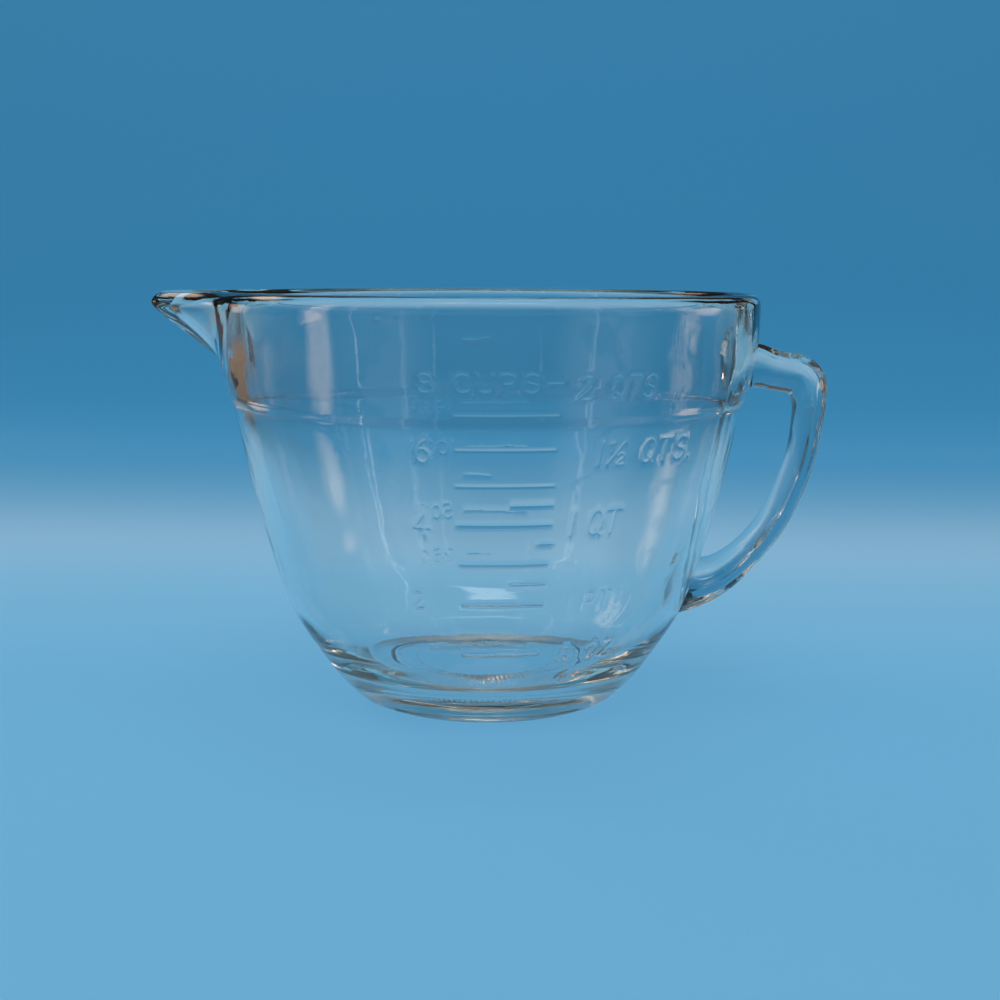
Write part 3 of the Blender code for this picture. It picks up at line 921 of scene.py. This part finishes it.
# Soft lights in the room: degrees round from +Y, degrees up, half width, half height, tilt, radiance, colour
SOFT_LIGHTS = (
    (-116.0, 22.0, 34.0, 26.0, 0.0, 0.5, COOL),
    (116.0, 22.0, 34.0, 26.0, 0.0, 0.38, COOL),
    (-152.0, 34.0, 1.0, 16.0, 8.0, 1.2, COOL),
    (148.0, 30.0, 1.0, 18.0, -8.0, 1.2, COOL),
    (131.0, 27.0, 1.4, 20.0, -5.0, 1.1, COOL),
    (106.0, 25.0, 1.0, 22.0, 6.0, 3.0, COOL),
    (88.0, 20.0, 2.4, 18.0, -4.0, 0.6, COOL),
    (-125.0, 25.0, 1.6, 20.0, 4.0, 1.8, COOL),
    (180.0, 68.0, 24.0, 2.6, 0.0, 4.5, COOL),
    (0.0, 80.0, 20.0, 6.0, 0.0, 2.0, COOL),
    (78.0, 4.0, 12.0, 9.0, 0.0, 4.0, WARM),
    (-52.0, 34.0, 20.0, 8.0, 0.0, 3.0, WARM),
    (-60.0, 3.0, 12.0, 9.0, 0.0, 2.0, WARM),
    (180.0, 3.0, 60.0, 3.0, 0.0, 0.4, WARM),
)


def seen_from_patch(nodes, links, direction, light):
    """The direction in a patch of light's own axes: X to its middle, Y and Z in its half sizes."""
    azimuth, elevation, half_width, half_height, tilt = np.radians(light[:5])
    local = nodes.new("ShaderNodeMapping")
    local.vector_type = "TEXTURE"
    turned = Matrix.Rotation(math.pi / 2 - azimuth, 3, "Z")
    turned = turned @ Matrix.Rotation(-elevation, 3, "Y") @ Matrix.Rotation(tilt, 3, "X")
    local.inputs["Rotation"].default_value = turned.to_euler()
    local.inputs["Scale"].default_value = (1.0, math.tan(half_width), math.tan(half_height))
    split = nodes.new("ShaderNodeSeparateXYZ")
    links.new(direction, local.inputs["Vector"])
    links.new(local.outputs["Vector"], split.inputs["Vector"])
    return split


def off_middle(nodes, links, split):
    """How far off the patch's middle the direction is, where 1 is its edge."""
    flat = nodes.new("ShaderNodeCombineXYZ")
    size = nodes.new("ShaderNodeVectorMath")
    size.operation = "LENGTH"
    ahead = nodes.new("ShaderNodeMath")
    ahead.operation = "MAXIMUM"
    ahead.inputs[1].default_value = 0.01
    away = nodes.new("ShaderNodeMath")
    away.operation = "DIVIDE"
    links.new(split.outputs["Y"], flat.inputs["Y"])
    links.new(split.outputs["Z"], flat.inputs["Z"])
    links.new(flat.outputs["Vector"], size.inputs[0])
    links.new(split.outputs["X"], ahead.inputs[0])
    links.new(size.outputs["Value"], away.inputs[0])
    links.new(ahead.outputs["Value"], away.inputs[1])
    return away.outputs["Value"]


PATCH_MIDDLE = 0.35  # the share of its half size within which a patch of light is even


def soft_light(nodes, links, direction, light):
    """A patch of light that fades towards its edge, as seen in a direction from the middle of the room."""
    radiance, colour = light[5:]
    split = seen_from_patch(nodes, links, direction, light)
    fade = nodes.new("ShaderNodeMapRange")
    fade.interpolation_type = "SMOOTHSTEP"
    fade.inputs["From Min"].default_value = 1.0
    fade.inputs["From Max"].default_value = PATCH_MIDDLE
    fade.inputs["To Max"].default_value = radiance
    glow = nodes.new("ShaderNodeVectorMath")
    glow.operation = "SCALE"
    glow.inputs[0].default_value = colour
    links.new(off_middle(nodes, links, split), fade.inputs["Value"])
    links.new(fade.outputs["Result"], glow.inputs["Scale"])
    return glow.outputs["Vector"]


def shade_ramp(nodes, links, along, stops):
    """A colour that changes smoothly along a coordinate, from (place, colour) stops."""
    span = nodes.new("ShaderNodeMapRange")
    span.inputs["From Min"].default_value = stops[0][0]
    span.inputs["From Max"].default_value = stops[-1][0]
    ramp = nodes.new("ShaderNodeValToRGB")
    ramp.color_ramp.interpolation = "B_SPLINE"
    elements = ramp.color_ramp.elements
    for i, (at, colour) in enumerate(stops):
        position = (at - stops[0][0]) / (stops[-1][0] - stops[0][0])
        element = elements[i] if i < 2 else elements.new(position)
        element.position = position
        element.color = (*colour, 1)
    links.new(along, span.inputs["Value"])
    links.new(span.outputs["Result"], ramp.inputs["Fac"])
    return ramp.outputs["Color"]


def make_world():
    """All the light there is: the room's own shade, with patches of soft light in it."""
    world = bpy.data.worlds.new("room")
    world.use_nodes = True
    nodes, links = world.node_tree.nodes, world.node_tree.links
    place = nodes.new("ShaderNodeTexCoord")
    split = nodes.new("ShaderNodeSeparateXYZ")
    links.new(place.outputs["Generated"], split.inputs["Vector"])
    total = shade_ramp(nodes, links, split.outputs["Z"], ROOM_SHADES)
    for light in SOFT_LIGHTS:
        both = nodes.new("ShaderNodeVectorMath")
        links.new(total, both.inputs[0])
        links.new(soft_light(nodes, links, place.outputs["Generated"], light), both.inputs[1])
        total = both.outputs["Vector"]
    links.new(total, nodes["Background"].inputs["Color"])
    bpy.context.scene.world = world


# The studio's sizes, in metres
FLOOR_DROP = 0.0003
FLOOR_REACH = 3.0
SWEEP_START = 0.56  # where the backdrop begins to curve up
SWEEP_RADIUS = 0.3
SHEET_HALF_WIDTH = 0.62
SHEET_LIFT = 0.00002  # keeps the backdrop's lower edge off the floor
SHEET_TOP = 0.5
PAPER_GLOW = 0.72  # a glow painted into the paper, which stands for the even light of a room
SPREAD = 0.37  # how much wider the lit paper gets for each metre towards the back
# The paper's blue with painted light and shade in it, along Y on the floor and up Z on the backdrop
FLOOR_SHADES = (
    (-0.6, (0.132, 0.395, 0.639)),
    (0.0, (0.134, 0.395, 0.640)),
    (0.07, (0.156, 0.413, 0.649)),
    (0.145, (0.170, 0.420, 0.640)),
    (0.19, (0.193, 0.424, 0.630)),
    (0.255, (0.220, 0.424, 0.610)),
    (0.33, (0.170, 0.367, 0.547)),
    (0.40, (0.118, 0.318, 0.500)),
    (0.49, (0.083, 0.278, 0.466)),
    (0.60, (0.058, 0.245, 0.435)),
    (1.2, (0.05, 0.22, 0.40)),
)
SHEET_SHADES = (
    (0.0, (0.064, 0.265, 0.468)),
    (0.016, (0.048, 0.240, 0.440)),
    (0.037, (0.038, 0.218, 0.408)),
    (0.12, (0.033, 0.203, 0.384)),
    (0.22, (0.038, 0.210, 0.394)),
    (0.315, (0.041, 0.216, 0.402)),
    (0.5, (0.047, 0.232, 0.424)),
)
# The floor beyond the lit paper, and from where to where it sets in
DUSK = (0.018, 0.048, 0.075, 1)  # painted shade: the paper out of the lights' reach, at either side
DUSK_SPAN = (0.20, 0.36)
WOOD = (0.19, 0.135, 0.095, 1)  # the bare table at the left
WOOD_SPAN = (-0.40, -0.55)
SHADED_TABLE = (0.035, 0.026, 0.02, 1)  # the table's warm grey around the camera, darkened with painted shade
SHADED_TABLE_SPAN = (-0.26, -0.50)


def faded(nodes, links, colour, along, span, end_colour):
    """The colour, turning softly into another one over a span of a coordinate."""
    share = nodes.new("ShaderNodeMapRange")
    share.interpolation_type = "SMOOTHSTEP"
    share.inputs["From Min"].default_value, share.inputs["From Max"].default_value = span
    mix = nodes.new("ShaderNodeMix")
    mix.data_type = "RGBA"
    mix.inputs["B"].default_value = end_colour
    links.new(along, share.inputs["Value"])
    links.new(share.outputs["Result"], mix.inputs["Factor"])
    links.new(colour, mix.inputs["A"])
    return mix.outputs["Result"]


def beyond(nodes, links, split):
    """How far a place on the floor is to the side, less the spread of the paper's painted light towards the
    back.
    """
    side = nodes.new("ShaderNodeMath")
    side.operation = "ABSOLUTE"
    spread = nodes.new("ShaderNodeMath")
    spread.operation = "MULTIPLY_ADD"
    spread.inputs[1].default_value = -SPREAD
    links.new(split.outputs["X"], side.inputs[0])
    links.new(split.outputs["Y"], spread.inputs[0])
    links.new(side.outputs["Value"], spread.inputs[2])
    return spread.outputs["Value"]


def paper_material(name, stops, axis):
    """Matt blue paper whose colour holds painted light and shade that change along an axis, at (place in
    metres, colour) stops, and which glows with that colour as painted room light.
    """
    material = bpy.data.materials.new(name)
    material.use_nodes = True
    nodes, links = material.node_tree.nodes, material.node_tree.links
    shader = nodes["Principled BSDF"]
    shader.inputs["Roughness"].default_value = 0.75
    shader.inputs["Specular IOR Level"].default_value = 0.15
    place = nodes.new("ShaderNodeTexCoord")
    split = nodes.new("ShaderNodeSeparateXYZ")
    links.new(place.outputs["Object"], split.inputs["Vector"])
    # The ramp paints the fall of light over the paper into its colour
    colour = shade_ramp(nodes, links, split.outputs[axis], stops)
    if axis == "Y":
        # Painted shade at either side of the lit paper
        colour = faded(nodes, links, colour, beyond(nodes, links, split), DUSK_SPAN, DUSK)
        colour = faded(nodes, links, colour, split.outputs["X"], WOOD_SPAN, WOOD)
        # The table's warm colour, darkened with painted shade towards the camera
        colour = faded(nodes, links, colour, split.outputs["Y"], SHADED_TABLE_SPAN, SHADED_TABLE)
    links.new(colour, shader.inputs["Base Color"])
    # The paper glows with its own colour as painted room light
    links.new(colour, shader.inputs["Emission Color"])
    shader.inputs["Emission Strength"].default_value = PAPER_GLOW
    return material


def strip_object(name, profile, half_width):
    """A sheet swept along X through (y, z) points."""
    points = [(x, y, z) for y, z in profile for x in (-half_width, half_width)]
    faces = [(2 * i, 2 * i + 1, 2 * i + 3, 2 * i + 2) for i in range(len(profile) - 1)]
    data = bpy.data.meshes.new(name)
    data.from_pydata(points, [], faces)
    data.shade_smooth()
    obj = bpy.data.objects.new(name, data)
    bpy.context.scene.collection.objects.link(obj)
    return obj


def sweep_profile():
    """The backdrop's curve up from the floor and its upright part, as (y, z)."""
    start = SHEET_LIFT - FLOOR_DROP
    turns = np.linspace(0, math.pi / 2, 24)
    curve = [
        (SWEEP_START + SWEEP_RADIUS * math.sin(t), start + SWEEP_RADIUS * (1 - math.cos(t))) for t in turns
    ]
    return curve + [(SWEEP_START + SWEEP_RADIUS, SHEET_TOP)]


def make_stage():
    before_sweep = [(-FLOOR_REACH, -FLOOR_DROP), (SWEEP_START, -FLOOR_DROP)]
    after_sweep = [(SWEEP_START, -FLOOR_DROP), (FLOOR_REACH, -FLOOR_DROP)]
    floor = strip_object("floor", before_sweep, FLOOR_REACH)
    behind = strip_object("floor_behind", after_sweep, FLOOR_REACH)
    backdrop = strip_object("backdrop", sweep_profile(), SHEET_HALF_WIDTH)
    paper = paper_material("floor_paper", FLOOR_SHADES, "Y")
    floor.data.materials.append(paper)
    behind.data.materials.append(paper)
    backdrop.data.materials.append(paper_material("backdrop_paper", SHEET_SHADES, "Z"))


# ---------------------------------------------------------------- all together


def main():
    mesh = bowl_mesh()
    bowl = mesh_object("glass_bowl", mesh.points, mesh.faces)
    join_handle(bowl, handle_object())
    bowl.data.shade_smooth()
    bowl.data.set_sharp_from_angle(angle=CREASE_ANGLE)
    bowl.data.materials.clear()
    bowl.data.materials.append(glass_material())
    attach(bowl, "root")
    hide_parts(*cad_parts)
    make_stage()
    make_world()
    make_camera()
    scene = bpy.context.scene
    scene.view_settings.view_transform = "Standard"
    scene.cycles.max_bounces = 20
    scene.cycles.glossy_bounces = 12
    scene.cycles.transmission_bounces = 18


main()
